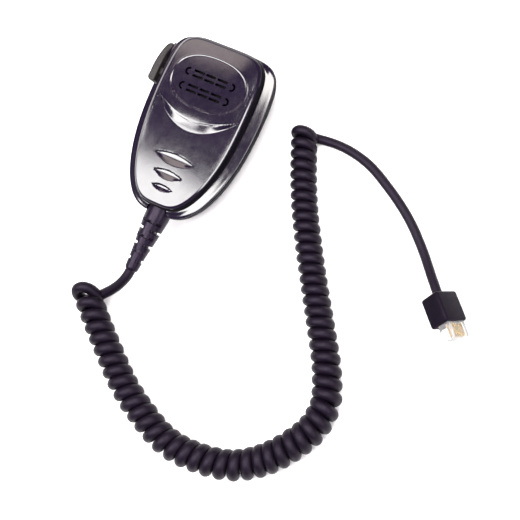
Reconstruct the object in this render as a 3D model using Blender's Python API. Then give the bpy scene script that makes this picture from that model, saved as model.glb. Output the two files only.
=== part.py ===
"""Palm microphone of a mobile two-way radio, with its coiled cord and modular plug.

The microphone lies on its back: +Z points out of its front, +Y to its top end, and the origin is
the middle of the hang-up button's outer face. All sizes here are in millimetres.
"""

import math

import bmesh
import bpy
from mathutils import Matrix, Vector

MM = 0.001

# The two shells: half width, highest y and lowest y of each outline, and the heights of its edges
WIDEST_Y = 14.0
FRONT_OUTLINE = (25.4, 43.4, -42.6)
REAR_OUTLINE = (30.6, 44.0, -45.5)
OUTLINE_POINTS = 72
FACE_CENTRE_Y = 4.0
BACK_Z = 6.0
FLOOR_Z = 8.2
WALL_FOOT_Z = 16.0
SHOULDER_Z = 23.1
PARTING_Z = 23.4
FACE_Z = 28.2
WALL = 2.0
GAP = 0.3

# The face: a dome, and an upper pad that steps down along a curved brow
DOME_RISE = 1.5
PAD_RISE = 1.1
BROW_TOP_Y = 2.4
BROW_FOOT_Y = -2.6
BROW_CURVE = 0.0145
DISH_CENTRE_Y = 22.0
DISH_HALF = (20.2, 13.4)
DISH_DEPTH = 1.3
DISH_CUTTER_HEIGHT = 6.4
DISH_CUTTER_SPREAD = 1.55
GRIPS = ((-18.6, 11.3, 2.9), (-26.5, 8.3, 2.3), (-33.4, 5.8, 1.7))
GRIP_DEPTH = 0.9
SLOT_ROWS_Y = (26.0, 23.4, 18.3, 15.7)
SLOT_SPANS = ((-14.4, -10.6), (-9.4, -3.8), (-2.6, 2.6), (3.8, 9.4), (10.6, 14.4))
SLOT_HEIGHT = 1.2

# Push-to-talk bar, its hinge and the switch behind it
PIVOT = (-27.9, 33.0)
BAR_Z = (12.0, 22.2)
NOTCH_X = -28.4
NOTCH_Y = (13.6, 30.8)
SWITCH_Y = 21.0
SWITCH_Z = 17.9

# Fixings
CASE_SCREWS = ((-17.5, 33.5), (17.5, 33.5), (-10.5, -29.0), (10.5, -29.0))
CLAMP_Y = -34.0
CLAMP_SCREW_X = 6.0
BOARD_Z = (13.0, 14.6)

# Strain relief: outlet, tip, and the places of its slots along its length
CORD_Z = 18.0
RELIEF_START = Vector((0.0, -38.2, CORD_Z))
RELIEF_TIP = Vector((-2.4, -76.2, 15.2))
RELIEF_PROFILE = ((0.0, 7.4), (1.1, 7.4), (1.2, 6.15), (9.0, 6.25), (12.0, 6.0), (20.0, 5.15),
                  (27.0, 4.2), (34.0, 3.65), (37.3, 3.3), (38.1, 2.8))
RELIEF_CORE = 2.9
TOP_SLOTS = (11.8, 19.7, 27.8)
SIDE_SLOTS = (15.9, 23.9, 32.0)
SLOT_WIDTH = 0.9

# Cord: a straight lead, a coiled part of 57 turns shown by its outer shape, and a straight tail
CORD_RADIUS = 2.4
COIL_RADIUS = 7.5
LEAD_ROUTE = ((-2.44, -76.7, 15.14), (-3.2, -79.5, 14.5), (-5.4, -83.4, 13.0), (-8.6, -88.2, 11.3),
              (-12.5, -92.8, 9.9))
COIL_ROUTE = ((-21.6, -95.3, 10.4), (-10.7, -106.0, 8.8), (1.9, -117.2, 7.7), (17.5, -129.7, 7.55),
              (32.7, -138.2, 7.55), (50.2, -144.8, 7.55), (68.1, -144.8, 7.55), (85.7, -140.1, 7.55),
              (98.3, -130.8, 7.55), (107.2, -119.4, 7.55), (112.9, -108.0, 7.55), (113.8, -95.7, 7.55),
              (109.1, -83.7, 7.55), (96.8, -64.1, 7.55), (85.7, -47.8, 7.55), (73.2, -28.7, 7.55),
              (64.4, -14.2, 7.55), (55.3, 3.6, 7.55), (47.3, 22.0, 7.55))
TAIL_ROUTE = ((56.3, 21.6, 7.0), (62.0, 22.1, 4.2), (68.6, 22.0, 2.5), (82.0, 19.3, 2.45),
              (96.5, 12.3, 2.45), (113.3, 1.2, 2.45), (125.5, -10.0, 3.0), (133.5, -18.2, 5.2),
              (141.2, -26.3, 8.7))
LEAD_POINTS = 14
COIL_POINTS = 46
TAIL_POINTS = 24

# Modular plug, in its own frame: X to the nose, Z out of the side that carries the contacts
PLUG_PLACE = Vector((141.9, -27.0, 8.7))
PLUG_HEADING = -44.0
PLUG_PITCH = -7.3
PLUG_ROLL = -55.8
BOOT_SIZE = (14.3, 13.3, 10.3)
BODY_X = (1.3, 22.3)
BODY_WIDTH = 11.68
BODY_Z = (-2.35, 4.15)
CONTACT_PITCH = 1.02
CONTACT_WIDTH = 0.36
CONTACTS = 8
LATCH_HINGE = (21.2, -2.75)

COLOURS = {
    "shell": ((0.030, 0.027, 0.034), 0.32, 0.0),
    "bar": ((0.050, 0.044, 0.046), 0.50, 0.0),
    "cord": ((0.026, 0.022, 0.030), 0.48, 0.0),
    "rubber": ((0.020, 0.018, 0.020), 0.60, 0.0),
    "felt": ((0.015, 0.015, 0.016), 0.95, 0.0),
    "steel": ((0.60, 0.61, 0.63), 0.30, 1.0),
    "aluminium": ((0.75, 0.75, 0.76), 0.35, 1.0),
    "board": ((0.02, 0.16, 0.06), 0.50, 0.0),
    "component": ((0.02, 0.02, 0.022), 0.45, 0.0),
    "clear": ((0.85, 0.87, 0.88), 0.10, 0.0),
    "gold": ((0.85, 0.62, 0.22), 0.25, 1.0),
    "red": ((0.45, 0.02, 0.02), 0.45, 0.0),
    "white": ((0.75, 0.74, 0.70), 0.45, 0.0),
}


def material(kind):
    found = bpy.data.materials.get(kind)
    if found:
        return found
    colour, roughness, metallic = COLOURS[kind]
    made = bpy.data.materials.new(kind)
    made.use_nodes = True
    shader = made.node_tree.nodes["Principled BSDF"]
    shader.inputs["Base Color"].default_value = (*colour, 1.0)
    shader.inputs["Roughness"].default_value = roughness
    shader.inputs["Metallic"].default_value = metallic
    made.diffuse_color = (*colour, 1.0)
    return made


def place(obj, kind, location=(0, 0, 0), rotation=None, parent=None):
    """Gives the object its material and its place, both in millimetres and in its parent's frame."""
    obj.data.materials.append(material(kind))
    bpy.context.scene.collection.objects.link(obj)
    turn = rotation.to_4x4() if rotation else Matrix.Identity(4)
    obj.matrix_world = Matrix.Translation(Vector(location) * MM) @ turn
    obj.parent = parent
    return obj


def mesh_object(name, bm, smooth_angle=40.0):
    """The object of a bmesh drawn in millimetres."""
    bmesh.ops.remove_doubles(bm, verts=bm.verts, dist=1e-5)
    bmesh.ops.recalc_face_normals(bm, faces=bm.faces)
    bmesh.ops.triangulate(bm, faces=bm.faces)
    bmesh.ops.scale(bm, vec=(MM, MM, MM), verts=bm.verts)
    mesh = bpy.data.meshes.new(name)
    bm.to_mesh(mesh)
    bm.free()
    mesh.shade_smooth()
    mesh.set_sharp_from_angle(angle=math.radians(smooth_angle))
    return bpy.data.objects.new(name, mesh)


def loft(bm, rings, closed_ends=True):
    """Joins closed rings of equal length, and caps the first and the last."""
    loops = [[bm.verts.new(point) for point in ring] for ring in rings]
    for low, high in zip(loops, loops[1:]):
        for k in range(len(low)):
            nxt = (k + 1) % len(low)
            bm.faces.new((low[k], low[nxt], high[nxt], high[k]))
    if closed_ends:
        bm.faces.new(loops[0][::-1])
        bm.faces.new(loops[-1])
    return bm


def circle(radius, z, steps):
    turn = 2 * math.pi / steps
    return [(radius * math.cos(k * turn), radius * math.sin(k * turn), z) for k in range(steps)]


def turned(name, profile, steps=24):
    """A solid of revolution about Z; the profile runs (radius, z) from end to end."""
    bm = bmesh.new()
    loft(bm, [circle(radius, z, steps) for radius, z in profile])
    return mesh_object(name, bm)


def bored(name, outer, inner, steps=24):
    """A turned solid with a blind hole: the outer profile to the mouth, then the hole down."""
    return turned(name, tuple(outer) + tuple(inner), steps)


def block_mesh(bm, low, high):
    corners = [(x, y, z) for z in (low[2], high[2]) for x, y in
               ((low[0], low[1]), (high[0], low[1]), (high[0], high[1]), (low[0], high[1]))]
    return loft(bm, [corners[:4], corners[4:]])


def block(name, low, high, bevel=0.0):
    bm = block_mesh(bmesh.new(), low, high)
    if bevel:
        bmesh.ops.bevel(bm, geom=bm.edges[:], offset=bevel, segments=2, affect="EDGES")
    return mesh_object(name, bm)


def slab(name, outline, low_z, high_z, bevel=0.0):
    bm = loft(bmesh.new(), [[(x, y, z) for x, y in outline] for z in (low_z, high_z)])
    if bevel:
        rims = [edge for edge in bm.edges if abs(edge.verts[0].co.z - edge.verts[1].co.z) < 1e-6]
        bmesh.ops.bevel(bm, geom=rims, offset=bevel, segments=2, affect="EDGES")
    return mesh_object(name, bm)


def cylinder(name, radius, low_z, high_z, steps=20):
    return turned(name, ((radius, low_z), (radius, high_z)), steps)


def rod_mesh(bm, radius, x, y, low_z, high_z, steps=20):
    ring = [(x + px, y + py) for px, py, _ in circle(radius, 0, steps)]
    return loft(bm, [[(px, py, z) for px, py in ring] for z in (low_z, high_z)])


def tube(name, points, radius, resolution):
    """A cord: one spline with a round section and filled ends."""
    curve = bpy.data.curves.new(name, "CURVE")
    curve.dimensions = "3D"
    curve.bevel_depth = radius * MM
    curve.bevel_resolution = resolution
    curve.use_fill_caps = True
    spline = curve.splines.new("POLY")
    spline.points.add(len(points) - 1)
    for target, point in zip(spline.points, points):
        target.co = (*(Vector(point) * MM), 1.0)
        target.radius = 1.0
    spline.use_smooth = True
    return bpy.data.objects.new(name, curve)


def smooth_path(route, count):
    """Points at equal steps along the smooth curve through the route's own points."""
    route = [Vector(point) for point in route]
    ends = [route[0] * 2 - route[1], *route, route[-1] * 2 - route[-2]]
    fine = []
    for a, b, c, d in zip(ends, ends[1:], ends[2:], ends[3:]):
        for step in range(24):
            t = step / 24
            fine.append(0.5 * (2 * b + (c - a) * t + (2 * a - 5 * b + 4 * c - d) * t**2
                               + (3 * b - a - 3 * c + d) * t**3))
    fine.append(route[-1])
    travelled = [0.0]
    for a, b in zip(fine, fine[1:]):
        travelled.append(travelled[-1] + (b - a).length)
    points = []
    at = 0
    for k in range(count):
        wanted = travelled[-1] * k / (count - 1)
        while at < len(fine) - 2 and travelled[at + 1] < wanted:
            at += 1
        part = (wanted - travelled[at]) / (travelled[at + 1] - travelled[at])
        points.append(fine[at].lerp(fine[at + 1], part))
    return points


def boolean(target, tool, operation="DIFFERENCE"):
    """Cuts or joins a helper, which stays in the scene as a wire guide."""
    tool.hide_render = True
    tool.display_type = "WIRE"
    if not tool.users_collection:
        bpy.context.scene.collection.objects.link(tool)
    modifier = target.modifiers.new(tool.name, "BOOLEAN")
    modifier.object = tool
    modifier.operation = operation


def superellipse(half_width, top, bottom, count=OUTLINE_POINTS):
    """A shell's outline seen from the front: squarish at the top, tapering to a rounded lower end."""
    dense = []
    steps = 720
    for k in range(steps + 1):
        angle = math.pi / 2 - math.pi * k / steps
        power, taper, reach = ((5.5, 0.07, top - WIDEST_Y) if angle >= 0
                               else (3.6, 0.275, WIDEST_Y - bottom))
        along = abs(math.sin(angle)) ** (2 / power)
        across = abs(math.cos(angle)) ** (2 / power)
        sign = 1 if angle >= 0 else -1
        dense.append((half_width * across * (1 - taper * along**2), WIDEST_Y + sign * reach * along))
    dense[0] = (0.0, top)
    dense[-1] = (0.0, bottom)
    travelled = [0.0]
    for a, b in zip(dense, dense[1:]):
        travelled.append(travelled[-1] + math.dist(a, b))
    half = []
    at = 0
    for k in range(count // 2 + 1):
        wanted = travelled[-1] * k / (count // 2)
        while at < steps - 1 and travelled[at + 1] < wanted:
            at += 1
        part = (wanted - travelled[at]) / (travelled[at + 1] - travelled[at])
        half.append((dense[at][0] + (dense[at + 1][0] - dense[at][0]) * part,
                     dense[at][1] + (dense[at + 1][1] - dense[at][1]) * part))
    return half + [(-x, y) for x, y in half[-2:0:-1]]


def shell_ring(outline, inset, z):
    half_width, top, bottom = outline
    return [(x, y, z) for x, y in superellipse(half_width - inset, top - inset, bottom + inset)]


def smoothstep(value):
    value = min(max(value, 0.0), 1.0)
    return value * value * (3 - 2 * value)


def face_height(x, y, reach):
    """Height of the face above its edge; reach is 0 at the middle of the face and 1 at its edge."""
    rise = DOME_RISE * (1 - reach**2)
    bow = BROW_CURVE * x * x
    step = smoothstep((y - bow - BROW_FOOT_Y) / (BROW_TOP_Y - BROW_FOOT_Y))
    return rise + PAD_RISE * step * (1 - reach**8)


def dish_radius(x, y):
    """1 on the rim of the dish, 0 at its middle."""
    return math.hypot(x / DISH_HALF[0], (y - DISH_CENTRE_Y) / DISH_HALF[1])


def face_rings(outline, reaches, drop, with_dish):
    rings = []
    for reach in reaches:
        ring = []
        for x, y in outline:
            px = x * reach
            py = FACE_CENTRE_Y + (y - FACE_CENTRE_Y) * reach
            z = FACE_Z + face_height(px, py, reach) - drop
            if with_dish:
                z -= DISH_DEPTH * max(0.0, 1 - dish_radius(px, py) ** 4)
            ring.append((px, py, z))
        rings.append(ring)
    return rings


def make_front_shell():
    outer_edge = [point[:2] for point in shell_ring(FRONT_OUTLINE, 1.5, 0)]
    inner_edge = [point[:2] for point in shell_ring(FRONT_OUTLINE, WALL + 1.0, 0)]
    rings = [shell_ring(FRONT_OUTLINE, WALL, PARTING_Z), shell_ring(FRONT_OUTLINE, WALL, FACE_Z - 3.2)]
    inner = face_rings(inner_edge, (1.0, 0.86, 0.7, 0.5, 0.25), WALL + 0.2, True)
    outer = face_rings(outer_edge, (0.08, 0.2, 0.32, 0.44, 0.54, 0.64, 0.74, 0.83, 0.91, 1.0), 0.0, False)
    sides = [shell_ring(FRONT_OUTLINE, 0.75, FACE_Z - 0.55), shell_ring(FRONT_OUTLINE, 0.35, FACE_Z - 1.4),
             shell_ring(FRONT_OUTLINE, 0.0, PARTING_Z)]
    bm = bmesh.new()
    # One closed skin: the ceiling's middle, down inside, round the edge, up outside, the face's middle
    loft(bm, inner[::-1] + rings[::-1] + sides[::-1] + outer[::-1])
    shell = place(mesh_object("front_shell", bm), "shell")

    dish = bmesh.new()
    bmesh.ops.create_uvsphere(dish, u_segments=40, v_segments=20, radius=1.0)
    size = (DISH_HALF[0] * DISH_CUTTER_SPREAD, DISH_HALF[1] * DISH_CUTTER_SPREAD, DISH_CUTTER_HEIGHT)
    lowest = FACE_Z + DOME_RISE + PAD_RISE - DISH_DEPTH - 0.35
    bmesh.ops.scale(dish, vec=size, verts=dish.verts)
    bmesh.ops.translate(dish, vec=(0, DISH_CENTRE_Y, lowest + DISH_CUTTER_HEIGHT), verts=dish.verts)
    boolean(shell, mesh_object("dish_cutter", dish))

    grips = bmesh.new()
    for y, half_length, half_height in GRIPS:
        sag = half_height**2 + half_length**2
        radius = sag / (2 * half_height)
        lens = []
        swing = math.asin(half_length / radius)
        for side in (1, -1):
            for k in range(8):
                angle = swing * (1 - k / 4) * side
                rise = radius * math.cos(angle) - radius + half_height
                lens.append((radius * math.sin(angle), side * rise))
        middle = FACE_Z + DOME_RISE * (1 - ((y - FACE_CENTRE_Y) / 45.0) ** 2)
        foot = [(x * 0.9, y + dy * 0.55, middle - GRIP_DEPTH) for x, dy in lens]
        rim = [(x, y + dy, middle + 0.25) for x, dy in lens]
        loft(grips, [foot, rim, [(px, py, pz + 3) for px, py, pz in rim]])
    boolean(shell, mesh_object("grip_cutter", grips))

    slots = bmesh.new()
    for y in SLOT_ROWS_Y:
        for left, right in SLOT_SPANS:
            block_mesh(slots, (left, y - SLOT_HEIGHT / 2, 24.0), (right, y + SLOT_HEIGHT / 2, 34.0))
    boolean(shell, mesh_object("slot_cutter", slots))

    posts = bmesh.new()
    for x, y in CASE_SCREWS:
        rod_mesh(posts, 2.8, x, y, 19.9, 27.0)
    boolean(shell, mesh_object("front_posts", posts), "UNION")
    holes = bmesh.new()
    for x, y in CASE_SCREWS:
        rod_mesh(holes, 1.2, x, y, 15.0, 25.0, 12)
    boolean(shell, mesh_object("front_post_holes", holes))
    boolean(shell, cord_hole("front_cord_notch"))


def cord_hole(name):
    """The round outlet at the lower end, which both shells leave free for the strain relief."""
    hole = cylinder(name, 7.1, 39.9, 50.0, 28)
    hole.data.transform(Matrix.Translation(Vector((0, 0, CORD_Z)) * MM) @ Matrix.Rotation(math.pi / 2, 4, "X"))
    return hole


def make_rear_shell():
    outside = [((24.3, 41.5, -42.0), SHOULDER_Z), ((25.7, 43.2, -42.9), SHOULDER_Z),
               ((27.7, 43.4, -43.9), 22.85), ((29.6, 43.6, -44.9), 22.3), ((30.3, 43.8, -45.35), 21.8),
               (REAR_OUTLINE, 21.0), (REAR_OUTLINE, WALL_FOOT_Z), ((30.2, 43.6, -45.1), 13.6),
               ((28.9, 42.6, -44.0), 10.6), ((26.4, 40.7, -41.8), 8.0), ((23.6, 38.4, -39.2), 6.5),
               ((21.6, 36.8, -37.4), BACK_Z)]
    inside = [((18.0, 33.5, -34.0), FLOOR_Z), ((22.0, 37.0, -38.0), 9.0), ((26.0, 40.4, -41.4), 11.6),
              ((28.0, 41.8, -43.0), 15.0), ((28.4, 42.0, -43.3), 20.2), ((26.6, 41.8, -42.6), 21.2),
              ((23.4, 41.2, -40.6), 21.6)]
    rings = [shell_ring(size, 0.0, z) for size, z in inside]
    rings += [shell_ring((23.4, 41.2, -40.6), 0.0, SHOULDER_Z)]
    rings += [shell_ring(size, 0.0, z) for size, z in outside[1:]]
    shell = place(mesh_object("rear_shell", loft(bmesh.new(), rings)), "shell")

    inner = bmesh.new()
    block_mesh(inner, (-28.9, 11.5, 9.6), (-25.4, 36.4, 22.0))
    boolean(shell, mesh_object("bar_backing", inner), "UNION")
    bosses = bmesh.new()
    for x, y in CASE_SCREWS:
        rod_mesh(bosses, 3.0, x, y, 7.4, 19.5)
    for x, y in ((-14.0, -20.0), (14.0, -20.0), (-20.0, 25.0), (14.0, 24.0)):
        rod_mesh(bosses, 1.8, x, y, 7.4, BOARD_Z[0] - GAP, 12)
    for x in (-CLAMP_SCREW_X, CLAMP_SCREW_X):
        rod_mesh(bosses, 2.2, x, CLAMP_Y, 7.4, 20.4, 16)
    boolean(shell, mesh_object("rear_bosses", bosses), "UNION")

    holes = bmesh.new()
    for x, y in CASE_SCREWS:
        loft(holes, [[(x + px, y + py, pz) for px, py, pz in circle(r, z, 20)]
                     for r, z in ((2.9, 4.0), (2.9, 8.6), (1.35, 8.6), (1.35, 26.0))])
    for x in (-CLAMP_SCREW_X, CLAMP_SCREW_X):
        rod_mesh(holes, 1.0, x, CLAMP_Y, 14.0, 26.0, 12)
    rod_mesh(holes, 1.4, 0.0, 0.0, 4.0, 12.0, 16)
    rod_mesh(holes, 1.15, *PIVOT, 11.2, 26.0, 16)
    boolean(shell, mesh_object("rear_holes", holes))

    cuts = bmesh.new()
    block_mesh(cuts, (-40.0, NOTCH_Y[0], 10.8), (NOTCH_X, NOTCH_Y[1], 26.0))
    boolean(shell, mesh_object("bar_notch", cuts))
    pocket = bmesh.new()
    block_mesh(pocket, (-40.0, NOTCH_Y[1] - 0.2, 13.4), (-25.9, 35.3, 19.4))
    boolean(shell, mesh_object("hinge_pocket", pocket))
    window = bmesh.new()
    block_mesh(window, (-32.0, SWITCH_Y - 3.2, SWITCH_Z - 2.9), (-24.0, SWITCH_Y + 3.2, SWITCH_Z + 2.9))
    boolean(shell, mesh_object("switch_window", window))
    boolean(shell, cord_hole("rear_cord_notch"))


def make_bar():
    """The push-to-talk bar, its origin on its hinge axis."""
    outline = ((-30.9, 15.1), (-31.3, 14.8), (-34.1, 14.9), (-34.6, 15.4), (-34.9, 19.0), (-34.9, 22.5),
               (-34.5, 26.5), (-33.8, 30.0), (-32.9, 33.0), (-32.0, 34.8), (-31.0, 35.6), (-29.7, 35.7),
               (-28.9, 35.2), (-29.1, 34.0), (-30.1, 31.0), (-30.7, 27.0), (-30.9, 23.0))
    local = [(x - PIVOT[0], y - PIVOT[1]) for x, y in outline[::-1]]
    bar = place(slab("ptt_bar", local, BAR_Z[0], BAR_Z[1], 0.5), "bar", (*PIVOT, 0.0))
    extra = bmesh.new()
    block_mesh(extra, (-3.2, -1.7, 14.0), (1.5, 1.7, 18.8))
    boss_y = SWITCH_Y - PIVOT[1]
    block_mesh(extra, (-3.8, boss_y - 1.6, SWITCH_Z - 1.5), (0.6, boss_y + 1.6, SWITCH_Z + 1.5))
    lug = mesh_object("bar_lugs", extra)
    lug.location = bar.location
    boolean(bar, lug, "UNION")
    bore = cylinder("bar_bore", 0.93, 10.0, 24.0, 24)
    bore.location = bar.location
    boolean(bar, bore)
    pin = turned("ptt_pivot_pin", ((0.6, 11.5), (0.85, 11.8), (0.85, 20.7), (0.6, 21.0)), 24)
    place(pin, "steel", (*PIVOT, 0.0))


def make_switch():
    body = block("ptt_switch_body", (-24.8, SWITCH_Y - 3.1, 14.9), (-18.8, SWITCH_Y + 3.1, 20.9), 0.3)
    place(body, "component")
    along_x = Matrix.Rotation(math.pi / 2, 3, "Y")
    bore = cylinder("switch_bore", 1.35, -25.5, -20.0, 20)
    bore.data.transform(Matrix.Translation(Vector((0, SWITCH_Y, SWITCH_Z)) * MM) @ along_x.to_4x4())
    boolean(body, bore)
    plunger = turned("ptt_switch_plunger", ((0.9, 0.0), (1.15, 0.3), (1.15, 5.2)), 20)
    place(plunger, "white", (-27.0, SWITCH_Y, SWITCH_Z), along_x)
    seal = block("ptt_window_seal", (-27.9, SWITCH_Y - 2.9, SWITCH_Z - 2.6),
                 (-27.3, SWITCH_Y + 2.9, SWITCH_Z + 2.6))
    place(seal, "rubber")
    boolean(seal, block("seal_opening", (-29.0, SWITCH_Y - 2.0, SWITCH_Z - 1.9),
                        (-26.0, SWITCH_Y + 2.0, SWITCH_Z + 1.9)))
    turns, points_per_turn = 4, 12
    spring = []
    for k in range(turns * points_per_turn + 1):
        angle = 2 * math.pi * k / points_per_turn
        along = -30.1 + 1.35 * k / (turns * points_per_turn)
        spring.append((along, 27.0 + 1.3 * math.cos(angle), 16.5 + 1.3 * math.sin(angle)))
    place(tube("ptt_return_spring", spring, 0.16, 1), "steel")


def make_inside():
    felt = turned("dust_felt", ((1.0, 0.0), (1.0, 0.8)), 40)
    felt.data.transform(Matrix.Diagonal((15.2, 7.2, 1.0, 1.0)))
    place(felt, "felt", (0.0, 20.8, 25.0))
    boot = bored("capsule_boot", ((7.0, 14.9), (7.0, 24.7)), ((5.15, 24.7), (5.15, 19.4)), 28)
    place(boot, "rubber", (0.0, 20.8, 0.0))
    place(turned("mic_capsule", ((4.85, 19.7), (4.85, 24.1), (4.5, 24.4)), 28), "aluminium", (0.0, 20.8, 0.0))
    edge = ((-17.0, -25.4), (17.0, -25.4), (17.0, 10.0), (19.0, 12.0), (19.0, 29.0), (-24.6, 29.0),
            (-24.6, 12.0), (-17.0, 10.0))
    place(slab("circuit_board", edge, *BOARD_Z), "board")
    top = BOARD_Z[1] + GAP
    place(block("wire_header", (-6.0, -19.5, top), (6.0, -14.5, top + 5.0), 0.2), "white")
    place(block("audio_chip", (-8.0, -6.0, top), (-2.0, -1.0, top + 1.6), 0.2), "component")
    place(turned("filter_capacitor", ((2.4, top), (2.5, top + 0.3), (2.5, top + 6.0), (2.2, top + 6.3)), 20),
          "aluminium", (8.0, -3.0, 0.0))


def make_fixings():
    for number, (x, y) in enumerate(CASE_SCREWS, 1):
        screw = bored(f"case_screw_{number}", ((0.9, 23.5), (0.9, 8.4), (2.5, 8.4), (2.5, 6.4)),
                      ((1.1, 6.4), (0.9, 7.6)), 16)
        place(screw, "steel", (x, y, 0.0))
    for number, x in enumerate((-CLAMP_SCREW_X, CLAMP_SCREW_X), 1):
        screw = turned(f"clamp_screw_{number}", ((0.75, 15.5), (0.75, 23.0), (1.9, 23.0), (1.9, 24.0)), 16)
        place(screw, "steel", (x, CLAMP_Y, 0.0))
    button = bored("hang_button", ((7.3, 0.0), (7.8, 0.5), (7.8, 2.0), (7.4, 2.4), (4.2, 2.4), (4.2, 5.0),
                                   (5.6, 5.0), (5.6, 5.7)), ((1.35, 5.7), (1.35, 1.9)), 40)
    place(button, "steel")
    place(turned("hang_button_screw", ((0.95, 2.3), (0.95, 9.7), (2.7, 9.7), (2.7, 11.0)), 20), "steel")
    washer = turned("hang_button_washer", ((1.3, 8.5), (5.0, 8.5), (5.0, 9.3), (1.3, 9.3)), 24)
    place(washer, "steel")
    boolean(washer, cylinder("washer_hole", 1.3, 8.0, 10.0, 16))


def make_clamp():
    bar = block("cord_clamp", (-8.4, CLAMP_Y - 2.5, 20.8), (8.4, CLAMP_Y + 2.5, 22.7), 0.3)
    place(bar, "component")
    holes = bmesh.new()
    for x in (-CLAMP_SCREW_X, CLAMP_SCREW_X):
        rod_mesh(holes, 1.1, x, CLAMP_Y, 20.0, 24.0, 16)
    boolean(bar, mesh_object("clamp_holes", holes))
    along_y = Matrix.Rotation(-math.pi / 2, 3, "X")
    place(cylinder("cord_inner_end", CORD_RADIUS, 0.0, 8.5, 16), "cord", (0.0, -37.9, CORD_Z), along_y)
    wires = (("wire_red", -3.9, "red"), ("wire_white", -1.3, "white"), ("wire_black", 1.3, "component"),
             ("wire_shield", 3.9, "steel"))
    for name, x, kind in wires:
        start = x * 0.46
        route = ((start, -29.1, CORD_Z), (start * 1.4, -27.2, 17.9), (x * 0.85, -22.5, 17.6),
                 (x, -19.9, 17.5))
        place(tube(name, smooth_path(route, 10), 0.55, 1), kind)


def make_relief():
    """Tapered relief with slots cut by turns from top and bottom and from both sides."""
    axis = (RELIEF_TIP - RELIEF_START).normalized()
    turn = axis.to_track_quat("Z", "Y").to_matrix()
    relief = turned("strain_relief", [(radius, along) for along, radius in RELIEF_PROFILE], 28)
    place(relief, "rubber", RELIEF_START, turn)
    bm = bmesh.new()
    half = SLOT_WIDTH / 2
    for along in TOP_SLOTS:
        for side in (-1, 1):
            near, far = sorted((side * RELIEF_CORE, side * 9.0))
            block_mesh(bm, (-9.0, near, along - half), (9.0, far, along + half))
    for along in SIDE_SLOTS:
        for side in (-1, 1):
            near, far = sorted((side * RELIEF_CORE, side * 9.0))
            block_mesh(bm, (near, -9.0, along - half), (far, 9.0, along + half))
    slots = mesh_object("relief_slots", bm)
    slots.matrix_world = relief.matrix_world
    boolean(relief, slots)


def make_cord():
    place(tube("cord_lead", smooth_path(LEAD_ROUTE, LEAD_POINTS), CORD_RADIUS, 3), "cord")
    place(tube("cord_coil", smooth_path(COIL_ROUTE, COIL_POINTS), COIL_RADIUS, 4), "cord")
    place(tube("cord_tail", smooth_path(TAIL_ROUTE, TAIL_POINTS), CORD_RADIUS, 3), "cord")


def make_plug():
    """The plug's pieces hang on an empty at the middle of the boot's rear face."""
    frame = bpy.data.objects.new("plug_frame", None)
    bpy.context.scene.collection.objects.link(frame)
    turn = (Matrix.Rotation(math.radians(PLUG_HEADING), 3, "Z")
            @ Matrix.Rotation(math.radians(PLUG_PITCH), 3, "Y")
            @ Matrix.Rotation(math.radians(PLUG_ROLL), 3, "X"))
    frame.matrix_world = Matrix.Translation(PLUG_PLACE * MM) @ turn.to_4x4()

    length, width, height = BOOT_SIZE
    boot = block("plug_boot", (0.0, -width / 2, -height / 2), (length, width / 2, height / 2), 0.9)
    place(boot, "rubber", parent=frame)
    hollow = bmesh.new()
    block_mesh(hollow, (1.0, -BODY_WIDTH / 2 - GAP, BODY_Z[0] - GAP),
               (length + 2, BODY_WIDTH / 2 + GAP, BODY_Z[1] + GAP))
    pocket = mesh_object("boot_pocket", hollow)
    pocket.parent = frame
    boolean(boot, pocket)
    channel = block("boot_latch_channel", (9.0, -3.5, -4.75), (length + 2, 3.5, 0.0))
    channel.parent = frame
    boolean(boot, channel)

    body = block("plug_body", (BODY_X[0], -BODY_WIDTH / 2, BODY_Z[0]),
                 (BODY_X[1], BODY_WIDTH / 2, BODY_Z[1]), 0.3)
    place(body, "clear", parent=frame)
    cuts = bmesh.new()
    slot_half = CONTACT_WIDTH / 2 + 0.17
    for k in range(CONTACTS):
        y = (k - (CONTACTS - 1) / 2) * CONTACT_PITCH
        block_mesh(cuts, (15.4, y - slot_half, 1.2), (24.0, y + slot_half, 6.0))
    block_mesh(cuts, (0.0, -3.4, -1.2), (11.5, 3.4, 3.0))
    bay = mesh_object("plug_cuts", cuts)
    bay.parent = frame
    boolean(body, bay)
    for k in range(CONTACTS):
        y = (k - (CONTACTS - 1) / 2) * CONTACT_PITCH
        contact = block(f"plug_contact_{k + 1}", (15.8, y - CONTACT_WIDTH / 2, 1.5),
                        (21.9, y + CONTACT_WIDTH / 2, 3.75))
        place(contact, "gold", parent=frame)

    place(block("plug_crimp_bar", (3.2, -3.1, 1.1), (6.6, 3.1, 2.6), 0.2), "clear", parent=frame)
    jacket = cylinder("plug_cable_end", 1.0, 1.5, 9.0, 16)
    jacket.data.transform(Matrix.Diagonal((2.6, 0.9, 1.0, 1.0)))
    jacket.data.transform(Matrix.Rotation(math.pi / 2, 4, "Z"))
    jacket.data.transform(Matrix.Rotation(math.pi / 2, 4, "Y"))
    place(jacket, "cord", parent=frame)
    jacket.location = Vector((0, 0, -0.15)) * MM

    hinge_x, hinge_z = LATCH_HINGE
    side = [(0.0, 0.0), (0.4, -0.45), (0.0, -0.95), (-3.2, -1.15), (-3.4, -1.75), (-4.4, -1.75), (-4.6, -1.3),
            (-9.6, -1.6), (-9.6, -0.8)]
    ring = [[(x, y, z) for x, z in side] for y in (-3.1, 3.1)]
    latch = mesh_object("plug_latch", loft(bmesh.new(), ring))
    place(latch, "clear", parent=frame)
    latch.location = Vector((hinge_x, 0.0, hinge_z)) * MM


def main():
    for obj in list(bpy.data.objects):
        bpy.data.objects.remove(obj, do_unlink=True)
    make_front_shell()
    make_rear_shell()
    make_bar()
    make_switch()
    make_inside()
    make_fixings()
    make_clamp()
    make_relief()
    make_cord()
    make_plug()
    bpy.context.view_layer.update()


main()
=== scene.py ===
import math

import bmesh
import bpy
import numpy as np
from mathutils import Matrix, Vector


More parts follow.
